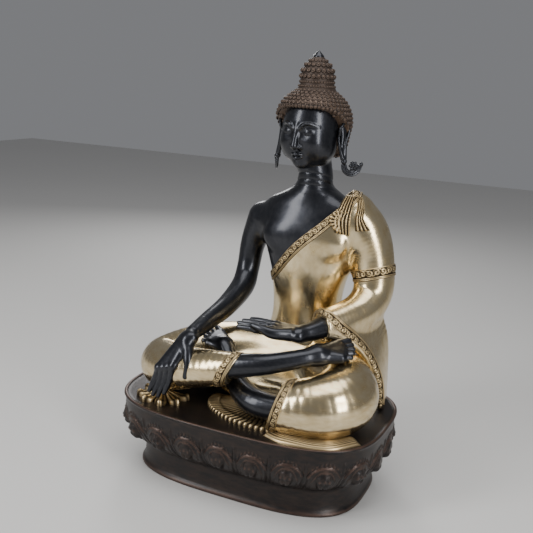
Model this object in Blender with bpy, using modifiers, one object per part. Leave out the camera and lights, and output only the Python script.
"""A seated Buddha in the earth-touching gesture, on an oval lotus base: hollow castings, socketed and pinned.

The figure faces -Y and its left side is +X. Metres, +Z up, with the origin under the middle of the base.
"""

import math

import bmesh
import bpy
from mathutils import Matrix, Vector

# Driving dimensions
HEIGHT = 0.680
BASE_HALF_WIDTH = 0.220
BASE_HALF_DEPTH = 0.148
BASE_TOP = 0.1235
OVAL_POWER = 3.2
WALL = 0.004
GAP = 0.0003
SOCKET_ROOM = 0.0006
CREASE_ROOM = 0.0002
BODY_X = 0.038
BODY_Y = 0.090
STUD_RADIUS = 0.004
SCREW_RADIUS = 0.002
PLATE_LEVEL = 0.003

for leftover in list(bpy.data.objects):
    bpy.data.objects.remove(leftover)
STATUE = bpy.data.collections.new("buddha_statue")
CUTTERS = bpy.data.collections.new("cutters")
for group in (STATUE, CUTTERS):
    bpy.context.scene.collection.children.link(group)


# ---------------------------------------------------------------- materials

def finish(name, colour, metallic, roughness):
    material = bpy.data.materials.new(name)
    material.use_nodes = True
    shader = material.node_tree.nodes["Principled BSDF"]
    shader.inputs["Base Color"].default_value = (*colour, 1)
    shader.inputs["Metallic"].default_value = metallic
    shader.inputs["Roughness"].default_value = roughness
    return material


GOLD = finish("polished_brass", (0.80, 0.62, 0.32), 1.0, 0.2)
ANTIQUE = finish("antique_brass", (0.42, 0.32, 0.18), 1.0, 0.4)
SKIN = finish("black_bronze", (0.045, 0.045, 0.055), 0.8, 0.25)
HAIR = finish("brown_patina", (0.10, 0.07, 0.055), 0.6, 0.5)
BASE = finish("dark_base_patina", (0.035, 0.028, 0.025), 0.6, 0.35)
STEEL = finish("plain_steel", (0.5, 0.5, 0.5), 1.0, 0.4)


# ---------------------------------------------------------------- shape tools

def bake(item):
    """Applies the modifiers, or turns a curve into a welded mesh."""
    graph = bpy.context.evaluated_depsgraph_get()
    mesh = bpy.data.meshes.new_from_object(item.evaluated_get(graph))
    mesh.transform(item.matrix_world)
    name, collection = item.name, item.users_collection[0]
    bpy.data.objects.remove(item)
    work = bmesh.new()
    work.from_mesh(mesh)
    bmesh.ops.remove_doubles(work, verts=work.verts, dist=1e-6)
    work.to_mesh(mesh)
    work.free()
    baked = bpy.data.objects.new(name, mesh)
    collection.objects.link(baked)
    return baked


def placed(mesh, name="shape", collection=CUTTERS):
    item = bpy.data.objects.new(name, mesh)
    item.hide_render = collection is CUTTERS
    item.display_type = "WIRE" if collection is CUTTERS else "TEXTURED"
    collection.objects.link(item)
    return item


def from_bmesh(work, name="shape"):
    bmesh.ops.recalc_face_normals(work, faces=work.faces)
    mesh = bpy.data.meshes.new(name)
    work.to_mesh(mesh)
    work.free()
    return placed(mesh, name)


def ball(centre, radii, turn=(0, 0, 0), segments=16):
    work = bmesh.new()
    bmesh.ops.create_uvsphere(work, u_segments=segments, v_segments=segments // 2 + 2, radius=1)
    spin = Matrix.Rotation(turn[2], 4, "Z") @ Matrix.Rotation(turn[1], 4, "Y") @ Matrix.Rotation(turn[0], 4, "X")
    bmesh.ops.transform(work, matrix=Matrix.Translation(centre) @ spin @ Matrix.Diagonal((*radii, 1)),
                        verts=work.verts)
    return from_bmesh(work)


def limb(points, grow=0.0):
    """A round tapered bar through (x, y, z, radius) points, with round ends."""
    curve = bpy.data.curves.new("limb", "CURVE")
    curve.dimensions = "3D"
    curve.bevel_depth = 1
    curve.bevel_resolution = 2
    curve.resolution_u = 4
    curve.use_fill_caps = True
    spline = curve.splines.new("BEZIER")
    spline.bezier_points.add(len(points) - 1)
    for knot, (x, y, z, radius) in zip(spline.bezier_points, points):
        knot.co = (x, y, z)
        knot.radius = radius + grow
        knot.handle_left_type = knot.handle_right_type = "AUTO"
    bar = bake(placed(curve))
    ends = [ball(point[:3], [point[3] + grow] * 3, segments=12) for point in (points[0], points[-1])]
    return [bar, *ends]


def loft(levels, grow=0.0, sides=32, power=2.2):
    """A closed stack of ovals, each (z, centre x, centre y, half width, half depth)."""
    work = bmesh.new()
    rings = []
    for z, x, y, half_x, half_y in levels:
        ring = []
        for step in range(sides):
            angle = math.tau * step / sides
            cos, sin = math.cos(angle), math.sin(angle)
            ring.append(work.verts.new((
                x + (half_x + grow) * math.copysign(abs(cos) ** (2 / power), cos),
                y + (half_y + grow) * math.copysign(abs(sin) ** (2 / power), sin), z)))
        rings.append(ring)
    for low, high in zip(rings, rings[1:]):
        for step in range(sides):
            after = (step + 1) % sides
            work.faces.new((low[step], low[after], high[after], high[step]))
    work.faces.new(rings[0])
    work.faces.new(rings[-1])
    return from_bmesh(work)


def cylinder(centre, radius, depth, turn=(0, 0, 0), sides=16):
    work = bmesh.new()
    bmesh.ops.create_cone(work, cap_ends=True, segments=sides, radius1=radius, radius2=radius, depth=depth)
    spin = Matrix.Rotation(turn[2], 4, "Z") @ Matrix.Rotation(turn[1], 4, "Y") @ Matrix.Rotation(turn[0], 4, "X")
    bmesh.ops.transform(work, matrix=Matrix.Translation(centre) @ spin, verts=work.verts)
    return from_bmesh(work)


def half_space(point, normal, size=0.6):
    """A large block whose one face passes through point, on the side that normal points to."""
    normal = Vector(normal).normalized()
    work = bmesh.new()
    bmesh.ops.create_cube(work, size=size)
    spin = normal.to_track_quat("Z", "Y").to_matrix().to_4x4()
    centre = Vector(point) + normal * size / 2
    bmesh.ops.transform(work, matrix=Matrix.Translation(centre) @ spin, verts=work.verts)
    return from_bmesh(work)


def turned(profile, centre, sides=24):
    """A solid of revolution about the vertical through centre, from (radius, z) points, bottom to top."""
    mesh = bpy.data.meshes.new("profile")
    top_down = [(radius, 0, z) for radius, z in reversed(profile)]
    mesh.from_pydata(top_down, [(i, i + 1) for i in range(len(top_down) - 1)], [])
    item = placed(mesh)
    item.location = (*centre, 0)
    screw = item.modifiers.new("Turn", "SCREW")
    screw.steps = screw.render_steps = sides
    screw.use_merge_vertices = True
    screw.merge_threshold = 1e-5
    bpy.context.view_layer.update()
    return bake(item)


def combine(host, tools, operation):
    for tool in tools:
        cut = host.modifiers.new("Fit", "BOOLEAN")
        cut.operation = operation
        cut.object = tool
        cut.use_self = True
        host = bake(host)
    return host


def largest_body(item):
    """Drops the loose chips that a cut leaves."""
    work = bmesh.new()
    work.from_mesh(item.data)
    bmesh.ops.remove_doubles(work, verts=work.verts, dist=2e-5)
    unseen = set(work.faces)
    bodies = []
    while unseen:
        body, waiting = set(), [unseen.pop()]
        while waiting:
            face = waiting.pop()
            body.add(face)
            clean_edges = [edge for edge in face.edges if len(edge.link_faces) == 2]
            near = {other for edge in clean_edges for other in edge.link_faces} & unseen
            unseen -= near
            waiting.extend(near)
        bodies.append(body)
    keep = max(bodies, key=lambda body: sum(face.calc_area() for face in body))
    bmesh.ops.delete(work, geom=[face for face in work.faces if face not in keep], context="FACES")
    work.to_mesh(item.data)
    work.free()
    return item


def blend(shapes, cell, faces, relax=6):
    """Melts overlapping shapes into one smooth skin of about this many triangles."""
    work = bmesh.new()
    for shape in shapes:
        work.from_mesh(shape.data)
        bpy.data.objects.remove(shape)
    mesh = bpy.data.meshes.new("blend")
    work.to_mesh(mesh)
    work.free()
    item = placed(mesh)
    skin = item.modifiers.new("Skin", "REMESH")
    skin.mode = "VOXEL"
    skin.voxel_size = cell
    smooth = item.modifiers.new("Relax", "SMOOTH")
    smooth.factor = 0.5
    smooth.iterations = relax
    item = bake(item)
    thin = item.modifiers.new("Thin", "DECIMATE")
    thin.ratio = min(1, faces / (2 * len(item.data.polygons)))
    return largest_body(bake(item))


def copy_of(item):
    return placed(item.data.copy())


def swollen(item, by):
    """A copy whose surface stands off by this much, to cut a socket with."""
    copy = copy_of(item)
    swell = copy.modifiers.new("Swell", "DISPLACE")
    swell.mid_level = 0
    swell.strength = by
    return bake(copy)


def fit_around(host, *guests):
    """Cuts from the host the room that each guest takes, so the guest sits in a socket.

    The second, closer cut clears the guest's creases, where the wide one folds over itself.
    """
    for guest in guests:
        host = combine(host, [swollen(guest, SOCKET_ROOM), swollen(guest, CREASE_ROOM)], "DIFFERENCE")
    return largest_body(host)


def part(name, item, material):
    item.name = name
    item.data.name = name
    item.data.materials.clear()
    item.data.materials.append(material)
    item.hide_render = False
    item.display_type = "TEXTURED"
    CUTTERS.objects.unlink(item)
    STATUE.objects.link(item)
    item.data.shade_smooth()
    item.data.set_sharp_from_angle(angle=math.radians(40))
    return item


# ---------------------------------------------------------------- lotus base: a shell, open below

BASE_INSETS = [  # inset from the widest oval, height
    (0.0300, 0.0), (0.0280, 0.004), (0.0300, 0.010), (0.0340, 0.034), (0.0300, 0.052), (0.0120, 0.072),
    (0.0030, 0.088), (0.0005, 0.105), (0.0, 0.122), (0.0015, BASE_TOP + 0.0025), (0.0050, BASE_TOP + 0.0025),
    (0.0070, BASE_TOP)]


def oval_levels(insets):
    return [(z, 0, 0, BASE_HALF_WIDTH - inset, BASE_HALF_DEPTH - inset) for inset, z in insets]


def lotus_base():
    outside = loft(oval_levels(BASE_INSETS), sides=36, power=OVAL_POWER)
    ceiling = BASE_TOP - WALL
    hollow = [(inset + WALL, z) for inset, z in BASE_INSETS if z < ceiling - 0.01]
    hollow[0] = (hollow[0][0], -0.01)
    hollow.append((0.006 + WALL, ceiling))
    inside = loft(oval_levels(hollow), sides=36, power=OVAL_POWER)
    shell = combine(outside, [inside], "DIFFERENCE")
    holes = [cylinder((x, y, BASE_TOP), STUD_RADIUS + 0.0005, 0.03) for x, y in STUDS]
    return combine(shell, holes, "DIFFERENCE")


STUDS = [(-0.095, 0.015), (0.110, 0.015), (BODY_X, 0.100)]
POST_X = BASE_HALF_WIDTH - 0.090
POST_Y = BASE_HALF_DEPTH - 0.078
POSTS = [(side_x * POST_X, side_y * POST_Y) for side_x in (-1, 1) for side_y in (-1, 1)]

PLATE_THICK = 0.002
plate = loft(oval_levels([(0.0300 + WALL + 0.0008, PLATE_LEVEL),
                          (0.0300 + WALL + 0.0008, PLATE_LEVEL + PLATE_THICK)]), sides=36, power=OVAL_POWER)
SCREW_HOLES = [cylinder((x, y, PLATE_LEVEL), SCREW_RADIUS + 0.0004, 0.02, sides=12) for x, y in POSTS]
part("base_plate", combine(plate, SCREW_HOLES, "DIFFERENCE"), ANTIQUE)
part("lotus_base", lotus_base(), BASE)

CEILING = BASE_TOP - WALL
POST_FOOT = PLATE_LEVEL + PLATE_THICK + GAP
for number, (x, y) in enumerate(POSTS, 1):
    post = cylinder((x, y, (POST_FOOT + CEILING - GAP) / 2), 0.006, CEILING - GAP - POST_FOOT, sides=12)
    bore = cylinder((x, y, POST_FOOT), SCREW_RADIUS + 0.0004, 0.024, sides=12)
    part(f"plate_post_{number}", combine(post, [bore], "DIFFERENCE"), ANTIQUE)
    head = 0.0022
    screw = turned([(0, PLATE_LEVEL - GAP - head), (0.0036, PLATE_LEVEL - GAP - head), (0.0040, PLATE_LEVEL - GAP),
                    (SCREW_RADIUS, PLATE_LEVEL - GAP), (SCREW_RADIUS, POST_FOOT + 0.009), (0, POST_FOOT + 0.010)],
                   (x, y), sides=12)
    part(f"plate_screw_{number}", screw, STEEL)

for number, (x, y) in enumerate(STUDS, 1):
    washer_top = CEILING - GAP
    washer = turned([(0, washer_top - 0.0015), (0.0085, washer_top - 0.0015), (0.0085, washer_top),
                     (0, washer_top)], (x, y), sides=20)
    bore = [cylinder((x, y, washer_top), STUD_RADIUS + 0.0005, 0.02)]
    part(f"washer_{number}", combine(washer, bore, "DIFFERENCE"), STEEL)
    nut_top = washer_top - 0.0015 - GAP
    nut = cylinder((x, y, nut_top - 0.00325), 0.0075, 0.0065, sides=6)
    bore = [cylinder((x, y, nut_top), STUD_RADIUS + 0.0004, 0.02)]
    part(f"nut_{number}", combine(nut, bore, "DIFFERENCE"), STEEL)
    stud = cylinder((x, y, (nut_top - 0.010 + BASE_TOP + 0.016) / 2), STUD_RADIUS, BASE_TOP + 0.026 - nut_top)
    part(f"fixing_stud_{number}", stud, STEEL)


# ---------------------------------------------------------------- lap: robe over hips, thighs and knees

RIGHT_THIGH = [(-0.02, 0.065, 0.178, 0.050), (-0.10, 0.015, 0.178, 0.050), (-0.156, -0.036, 0.168, 0.041),
               (-0.120, -0.075, 0.177, 0.037), (-0.055, -0.095, 0.196, 0.030)]
LEFT_THIGH = [(0.05, 0.065, 0.180, 0.052), (0.12, 0.015, 0.180, 0.052), (0.160, -0.040, 0.175, 0.046),
              (0.130, -0.083, 0.168, 0.042), (0.070, -0.096, 0.160, 0.033)]
RIGHT_SHIN = [(-0.058, -0.092, 0.196, 0.014), (-0.03, -0.098, 0.206, 0.019), (0.0, -0.099, 0.214, 0.019),
              (0.05, -0.093, 0.223, 0.016), (0.095, -0.070, 0.233, 0.014), (0.115, -0.052, 0.237, 0.015)]
LEFT_SHIN = [(0.085, -0.092, 0.156, 0.016), (0.030, -0.090, 0.158, 0.021), (-0.015, -0.062, 0.172, 0.017),
             (-0.045, -0.035, 0.200, 0.015), (-0.060, -0.025, 0.208, 0.015)]


def lap_shapes(grow):
    hips = ball((BODY_X, 0.078, 0.172), (0.104 + grow, 0.062 + grow, 0.052 + grow))
    cloth = ball((0.012, 0.010, 0.160), (0.105 + grow, 0.080 + grow, 0.034 + grow))
    return [hips, cloth, *limb(RIGHT_THIGH, grow), *limb(LEFT_THIGH, grow)]


LAP_FOOT = BASE_TOP + GAP
under = half_space((0, 0, LAP_FOOT), (0, 0, -1))
lap_skin = blend(lap_shapes(0), 0.006, 900)
lap = combine(copy_of(lap_skin), [under], "DIFFERENCE")
lap_core = blend(lap_shapes(-0.009), 0.008, 220)
lap = combine(lap, [lap_core], "DIFFERENCE")
for x, y in STUDS:
    lap = combine(lap, [cylinder((x, y, LAP_FOOT + 0.030), 0.011, 0.060)], "UNION")
lap = combine(lap, [cylinder((x, y, LAP_FOOT), STUD_RADIUS + 0.0004, 0.036) for x, y in STUDS], "DIFFERENCE")


# ---------------------------------------------------------------- shins and feet

def foot(heel, toes, side, thick):
    """A sole-up foot from heel to toes; side points from the little toe to the big one."""
    heel, toes, side = Vector(heel), Vector(toes), Vector(side).normalized()
    ahead = (toes - heel).normalized()
    yaw = math.atan2(ahead.y, ahead.x)
    middle = (heel + toes) / 2
    length = (toes - heel).length
    shapes = [ball(heel, (0.015, 0.013, thick), (0, 0, yaw)),
              ball(middle, (length * 0.55, 0.0165, thick * 0.85), (0, 0, yaw)),
              ball(heel.lerp(toes, 0.78), (length * 0.3, 0.019, thick * 0.8), (0, 0, yaw))]
    for place, reach, radius in ((-1.0, 0.006, 0.0040), (-0.55, 0.010, 0.0043), (-0.1, 0.013, 0.0046),
                                 (0.35, 0.015, 0.0050), (0.9, 0.016, 0.0065)):
        root = heel.lerp(toes, 0.85) + side * place * 0.0155
        tip = toes + side * place * 0.0155 + ahead * reach
        shapes += limb([(*root, radius), (*tip, radius * 0.9)])
    return shapes


right_shin = blend([*limb(RIGHT_SHIN), *foot((0.112, -0.052, 0.236), (0.150, -0.016, 0.243), (-0.7, 0.7, 0.25),
                                             0.015)], 0.0030, 480, relax=4)
left_shin_skin = blend([*limb(LEFT_SHIN), *foot((-0.055, -0.025, 0.207), (-0.088, -0.012, 0.216), (0.3, 0.95, 0.15),
                                           0.014)], 0.0030, 480, relax=4)


# ---------------------------------------------------------------- torso: robe shell and bare chest

TORSO = [  # height, half width, half depth
    (0.165, 0.076, 0.052), (0.190, 0.072, 0.051), (0.220, 0.063, 0.046), (0.250, 0.057, 0.044),
    (0.280, 0.0565, 0.045), (0.310, 0.061, 0.047), (0.340, 0.069, 0.050), (0.370, 0.078, 0.052),
    (0.400, 0.083, 0.052), (0.420, 0.085, 0.048), (0.440, 0.074, 0.041), (0.455, 0.052, 0.035),
    (0.466, 0.034, 0.031)]
HEM_POINT = (BODY_X + 0.052, BODY_Y, 0.444)
HEM_NORMAL = Vector((-1.16, -0.36, 1.0)).normalized()
ROBE_THICK = 0.002
SHELL = 0.006
COLLAR = 0.012


def torso(grow, open_ends=False):
    levels = [(z, BODY_X, BODY_Y, half_x, half_y) for z, half_x, half_y in TORSO]
    if open_ends:
        levels[0] = (levels[0][0] - 0.015, *levels[0][1:])
        levels.append((levels[-1][0] + 0.015, *levels[-1][1:]))
    return loft(levels, grow, sides=24)


bare_side = half_space(HEM_POINT, HEM_NORMAL)
robe_side = half_space(Vector(HEM_POINT) + HEM_NORMAL * GAP, -HEM_NORMAL)
below_collar = half_space(Vector(HEM_POINT) - HEM_NORMAL * COLLAR, -HEM_NORMAL)
robe_core = torso(ROBE_THICK - SHELL, open_ends=True)
robe_skin = torso(ROBE_THICK)
robe = combine(copy_of(robe_skin), [bare_side, robe_core], "DIFFERENCE")
collar = combine(torso(ROBE_THICK - SHELL - GAP * 1.4), [below_collar], "DIFFERENCE")
chest = combine(torso(0), [robe_side], "DIFFERENCE")
chest = combine(chest, [collar], "UNION")
chest = combine(chest, [torso(ROBE_THICK - SHELL - 0.0045, open_ends=True)], "DIFFERENCE")


# ---------------------------------------------------------------- head, hair, ears

HEAD = Vector((BODY_X - 0.007, BODY_Y - 0.010, 0.552))
NECK = (BODY_X + 0.001, BODY_Y - 0.004)


def head_shapes(grow=0.0):
    tilt = (math.radians(8), 0, 0)
    skull = ball(HEAD + Vector((0, 0.006, 0.012)), [r + grow for r in (0.048, 0.054, 0.050)], tilt)
    face = ball(HEAD + Vector((0, -0.012, -0.012)), [r + grow for r in (0.043, 0.044, 0.050)], tilt)
    chin = ball(HEAD + Vector((0, -0.034, -0.044)), [r + grow for r in (0.020, 0.018, 0.016)], tilt)
    return [skull, face, chin]


nose = limb([(*(HEAD + Vector((0, -0.052, 0.008))), 0.004), (*(HEAD + Vector((0, -0.060, -0.012))), 0.006)])
neck = limb([(*NECK, 0.452, 0.026), (*NECK, 0.480, 0.0275), (*NECK, 0.520, 0.030)])
head = blend([*head_shapes(), *nose, *neck], 0.0038, 640, relax=4)
head_core = blend([*head_shapes(-0.008)], 0.006, 160)
throat = turned([(0, 0.42), (0.017, 0.42), (0.017, 0.53), (0, 0.53)], NECK, sides=20)
head = combine(head, [head_core, throat, half_space((0, 0, 0.446), (0, 0, -1))], "DIFFERENCE")

hair_shapes = [ball(HEAD + Vector((0, 0.008, 0.016)), (0.058, 0.058, 0.058), (math.radians(8), 0, 0), 24),
               ball(HEAD + Vector((0, 0.026, -0.012)), (0.048, 0.040, 0.050), segments=20)]
hair = blend(hair_shapes, 0.005, 460)
face_opening = half_space(HEAD + Vector((0, -0.004, 0.032)), (0, -0.80, -0.60))
hair = combine(hair, [face_opening], "DIFFERENCE")

BUN = (HEAD.x, HEAD.y + 0.008)
BUN_FOOT = 0.620
BUN_TOP = BUN_FOOT + 0.050
bun_profile = [(0, BUN_FOOT - 0.0035), (0.024, BUN_FOOT - 0.0035), (0.029, BUN_FOOT), (0.0285, BUN_FOOT + 0.010),
               (0.0300, BUN_FOOT + 0.020), (0.0275, BUN_FOOT + 0.030), (0.022, BUN_FOOT + 0.039),
               (0.013, BUN_FOOT + 0.046), (0.009, BUN_TOP), (0, BUN_TOP)]
bun = turned(bun_profile, BUN)
flame_profile = [(0, BUN_TOP - 0.010), (0.004, BUN_TOP - 0.010), (0.004, BUN_TOP + GAP), (0.0085, BUN_TOP + 0.001),
                 (0.0075, BUN_TOP + 0.004), (0.0035, BUN_TOP + 0.0075), (0.0012, HEIGHT - 0.0008), (0, HEIGHT)]
flame = turned(flame_profile, BUN, sides=16)
hair = fit_around(hair, head, bun)
bun = fit_around(bun, flame)

EAR_TOP = (HEAD.x + 0.053, HEAD.y + 0.006, HEAD.z + 0.014)
EAR_LOW = (HEAD.x + 0.057, HEAD.y + 0.000, HEAD.z - 0.036)


def ear():
    upper = [*EAR_TOP, 0.0065]
    lower = [*EAR_LOW, 0.0055]
    middle = [EAR_LOW[0] - 0.001, EAR_LOW[1] + 0.006, HEAD.z - 0.010, 0.0060]
    root = [HEAD.x + 0.044, HEAD.y + 0.010, HEAD.z - 0.004, 0.006]
    return blend([*limb([upper, middle, lower]), *limb([root, middle])], 0.0022, 180, relax=3)


def ear_ornament():
    """A boss under the lobe and the ribbon that curls out from it."""
    top = Vector(EAR_LOW) - Vector((0, 0, 0.0060 + 0.0046))
    boss = limb([(*top, 0.0042), (*(top - Vector((0, 0, 0.010))), 0.006)])
    ribbon = []
    for step in range(7):
        angle = math.radians(180 + 30 * step)
        ribbon.append((top.x + 0.0155 + 0.0155 * math.cos(angle), top.y + 0.002 * step / 6,
                       top.z - 0.010 + 0.016 * math.sin(angle), 0.0042))
    bloom = ball(top + Vector((0.018, 0.001, -0.010)), (0.008, 0.005, 0.008))
    stalk = limb([(top.x + 0.018, top.y, top.z - 0.014, 0.004), (top.x + 0.016, top.y, top.z - 0.026, 0.004)])
    return blend([*boss, *limb(ribbon), bloom, *stalk], 0.0024, 240, relax=3)


def mirrored(item):
    copy = copy_of(item)
    flip = Matrix.Translation((HEAD.x, 0, 0)) @ Matrix.Diagonal((-1, 1, 1, 1)) @ Matrix.Translation((-HEAD.x, 0, 0))
    copy.data.transform(flip)
    copy.data.flip_normals()
    return copy


left_ear = ear()
left_ornament = ear_ornament()
right_ear = mirrored(left_ear)
right_ornament = mirrored(left_ornament)


# ---------------------------------------------------------------- arms and hands

RIGHT_ARM = [(BODY_X - 0.094, BODY_Y + 0.006, 0.408, 0.027), (BODY_X - 0.108, BODY_Y + 0.006, 0.360, 0.021),
             (BODY_X - 0.113, BODY_Y, 0.315, 0.019), (BODY_X - 0.110, BODY_Y - 0.025, 0.284, 0.020),
             (BODY_X - 0.113, BODY_Y - 0.075, 0.264, 0.018), (-0.083, -0.070, 0.2455, 0.0145)]
right_arm = blend([*limb(RIGHT_ARM), ball((BODY_X - 0.074, BODY_Y + 0.004, 0.402), (0.020, 0.024, 0.026))],
                  0.0045, 400)
right_arm = combine(right_arm, [half_space((-0.083, -0.074, 0.2447), (-0.10, -0.95, -0.30))], "DIFFERENCE")


def hand(wrist, knuckles, tips, across, thick, thumb, spread=1.0):
    """A hand from wrist to finger tips; across points from the little finger to the first."""
    wrist, knuckles, tips, across = Vector(wrist), Vector(knuckles), Vector(tips), Vector(across).normalized()
    ahead = (tips - knuckles).normalized()
    up = across.cross(ahead).normalized()
    frame = Matrix((ahead, across, up)).transposed().to_euler("XYZ")
    palm = ball(wrist.lerp(knuckles, 0.55), ((knuckles - wrist).length * 0.62, 0.020, thick), frame)
    shapes = [palm, *limb([(*wrist, 0.0125), (*wrist.lerp(knuckles, 0.4), 0.013)])]
    for place, length, radius in ((-1.5, 0.80, 0.0046), (-0.5, 0.94, 0.0050), (0.5, 1.0, 0.0052), (1.5, 0.93, 0.0052)):
        root = knuckles + across * place * 0.0098 - ahead * 0.012
        tip = knuckles + across * place * 0.0098 * spread + (tips - knuckles) * length
        shapes += limb([(*root, radius + 0.0006), (*root.lerp(tip, 0.5), radius), (*tip, radius * 0.72)])
    shapes += limb([(*point, radius) for point, radius in zip(thumb, (0.0090, 0.0068, 0.0058, 0.0042))])
    return shapes


right_hand_shapes = hand(wrist=(-0.084, -0.087, 0.2390), knuckles=(-0.1080, -0.1130, 0.1910), tips=(-0.1240, -0.1130, 0.1430),
                         across=(0.95, -0.06, 0.32), thick=0.011,
                         thumb=[(-0.084, -0.094, 0.232), (-0.077, -0.106, 0.216), (-0.073, -0.112, 0.203),
                                (-0.074, -0.114, 0.187)])
right_tenon = limb([(-0.082, -0.062, 0.2475, 0.008), (-0.084, -0.087, 0.2390, 0.0085)])
right_hand = blend([*right_hand_shapes, *right_tenon], 0.0022, 700, relax=3)

LEFT_ARM = [(BODY_X + 0.086, BODY_Y + 0.006, 0.424, 0.037), (BODY_X + 0.104, BODY_Y + 0.006, 0.360, 0.032),
            (BODY_X + 0.111, BODY_Y, 0.305, 0.032), (BODY_X + 0.101, BODY_Y - 0.035, 0.284, 0.030),
            (BODY_X + 0.084, BODY_Y - 0.068, 0.272, 0.027)]
DRAPE = [(BODY_X + 0.097, BODY_Y - 0.062, 0.258, 0.024), (BODY_X + 0.122, BODY_Y - 0.050, 0.225, 0.018),
         (BODY_X + 0.139, BODY_Y - 0.040, 0.185, 0.014), (BODY_X + 0.146, BODY_Y - 0.036, 0.150, 0.010)]
DRAPE_BACK = [(BODY_X + 0.108, BODY_Y - 0.005, 0.262, 0.026), (BODY_X + 0.128, BODY_Y + 0.006, 0.215, 0.018),
              (BODY_X + 0.138, BODY_Y + 0.012, 0.150, 0.010)]
sleeve_cap = ball((BODY_X + 0.060, BODY_Y + 0.004, 0.426), (0.032, 0.032, 0.026))
sleeve_skin = blend([*limb(LEFT_ARM), *limb(DRAPE), *limb(DRAPE_BACK), sleeve_cap], 0.0048, 700)
sleeve_mouth = limb([(0.100, -0.010, 0.265, 0.0215), (0.122, 0.020, 0.272, 0.0200), (0.135, 0.050, 0.280, 0.018)])
sleeve = combine(copy_of(sleeve_skin), [half_space((0.105, 0.004, 0.268), (-0.60, -0.78, 0.10)), blend(sleeve_mouth, 0.005, 160)],
                 "DIFFERENCE")

left_hand_shapes = hand(wrist=(0.082, -0.046, 0.262), knuckles=(0.042, -0.058, 0.267), tips=(-0.012, -0.060, 0.272),
                        across=(0.05, -1.0, -0.15), thick=0.010,
                        thumb=[(0.070, -0.060, 0.264), (0.050, -0.075, 0.266), (0.035, -0.079, 0.271),
                               (0.018, -0.078, 0.274)])
left_forearm = limb([(0.130, 0.036, 0.276, 0.015), (0.110, 0.002, 0.268, 0.0185), (0.096, -0.025, 0.264, 0.016),
                     (0.082, -0.046, 0.262, 0.0125)])
left_hand = blend([*left_hand_shapes, *left_forearm], 0.0024, 700, relax=3)


# ---------------------------------------------------------------- cloth ends

def pleated(centre, radius, start, end, pleats, inner, depth, thick, floor, squash=1.0):
    """A fan of pleats on a floor, between two angles: a corrugated sheet with a flat underside."""
    work = bmesh.new()
    rows = []
    columns = pleats * 4
    for ring in range(5):
        share = ring / 4
        reach = inner + (radius - inner) * share
        row = []
        for column in range(columns + 1):
            turn = start + (end - start) * column / columns
            wave = math.cos(math.tau * column / 4) * depth * (0.3 + 0.7 * share)
            row.append(work.verts.new((centre[0] + reach * math.cos(turn),
                                       centre[1] + squash * reach * math.sin(turn),
                                       floor + thick + wave + 0.010 * (1 - share))))
        rows.append(row)
    for near, far in zip(rows, rows[1:]):
        for column in range(columns):
            work.faces.new((near[column], far[column], far[column + 1], near[column + 1]))
    foot = bmesh.ops.extrude_face_region(work, geom=list(work.faces))
    for vertex in foot["geom"]:
        if isinstance(vertex, bmesh.types.BMVert):
            vertex.co.z = floor
    return from_bmesh(work)


front_fan = pleated((0.030, -0.052), 0.084, math.radians(160), math.radians(292), 9, 0.020, 0.0018, 0.008,
                    LAP_FOOT, squash=0.86)
hem_fold = blend([*limb([(0.072, -0.104, 0.128, 0.009), (0.120, -0.118, 0.128, 0.010), (0.170, -0.100, 0.128, 0.010),
                         (0.196, -0.050, 0.128, 0.009)])], 0.004, 240)
hem_fold = combine(hem_fold, [half_space((0, 0, LAP_FOOT), (0, 0, -1))], "DIFFERENCE")
hem_frill = pleated((-0.140, -0.060), 0.046, math.radians(180), math.radians(350), 6, 0.010, 0.0020, 0.006, LAP_FOOT)

shoulder = [*limb([(BODY_X + 0.074, BODY_Y - 0.030, 0.452, 0.008), (BODY_X + 0.066, BODY_Y - 0.050, 0.420, 0.012),
                   (BODY_X + 0.058, BODY_Y - 0.056, 0.392, 0.015)]),
            *limb([(BODY_X + 0.080, BODY_Y - 0.026, 0.452, 0.008), (BODY_X + 0.080, BODY_Y - 0.046, 0.424, 0.010),
                   (BODY_X + 0.082, BODY_Y - 0.052, 0.400, 0.010)])]
pleats = blend(shoulder, 0.003, 300, relax=3)


# ---------------------------------------------------------------- fit the castings to each other

chest = fit_around(chest, head, right_arm, sleeve_skin)
robe = fit_around(robe, right_arm, sleeve_skin)
robe = fit_around(robe, pleats)
sleeve = fit_around(sleeve, left_hand, pleats)
right_arm = fit_around(right_arm, right_hand)
left_shin = fit_around(copy_of(left_shin_skin), right_shin)
lap = fit_around(lap, robe_skin, right_shin, left_shin_skin, left_hand, right_hand, sleeve_skin)
front_fan = fit_around(front_fan, left_shin_skin, lap_skin)
hem_fold = fit_around(hem_fold, lap_skin, sleeve_skin)
hem_frill = fit_around(hem_frill, right_hand, lap_skin)
left_ear = fit_around(left_ear, head, hair)
right_ear = fit_around(right_ear, head, hair)
left_ornament = fit_around(left_ornament, left_ear, head)
right_ornament = fit_around(right_ornament, right_ear, head)

part("lap_robe", lap, GOLD)
part("torso_robe", robe, GOLD)
part("left_sleeve", sleeve, GOLD)
part("shoulder_pleats", pleats, ANTIQUE)
part("front_robe_fan", front_fan, ANTIQUE)
part("left_hem_fold", hem_fold, ANTIQUE)
part("right_hem_frill", hem_frill, ANTIQUE)
part("bare_chest", chest, SKIN)
part("right_arm", right_arm, SKIN)
part("right_hand", right_hand, SKIN)
part("left_hand", left_hand, SKIN)
part("right_shin", right_shin, SKIN)
part("left_shin", left_shin, SKIN)
part("head", head, SKIN)
part("left_ear", left_ear, SKIN)
part("right_ear", right_ear, SKIN)
part("left_ear_ornament", left_ornament, SKIN)
part("right_ear_ornament", right_ornament, SKIN)
part("hair_cap", hair, HAIR)
part("hair_bun", bun, HAIR)
part("flame_jewel", flame, SKIN)

for cutter in list(CUTTERS.objects):
    bpy.data.objects.remove(cutter)
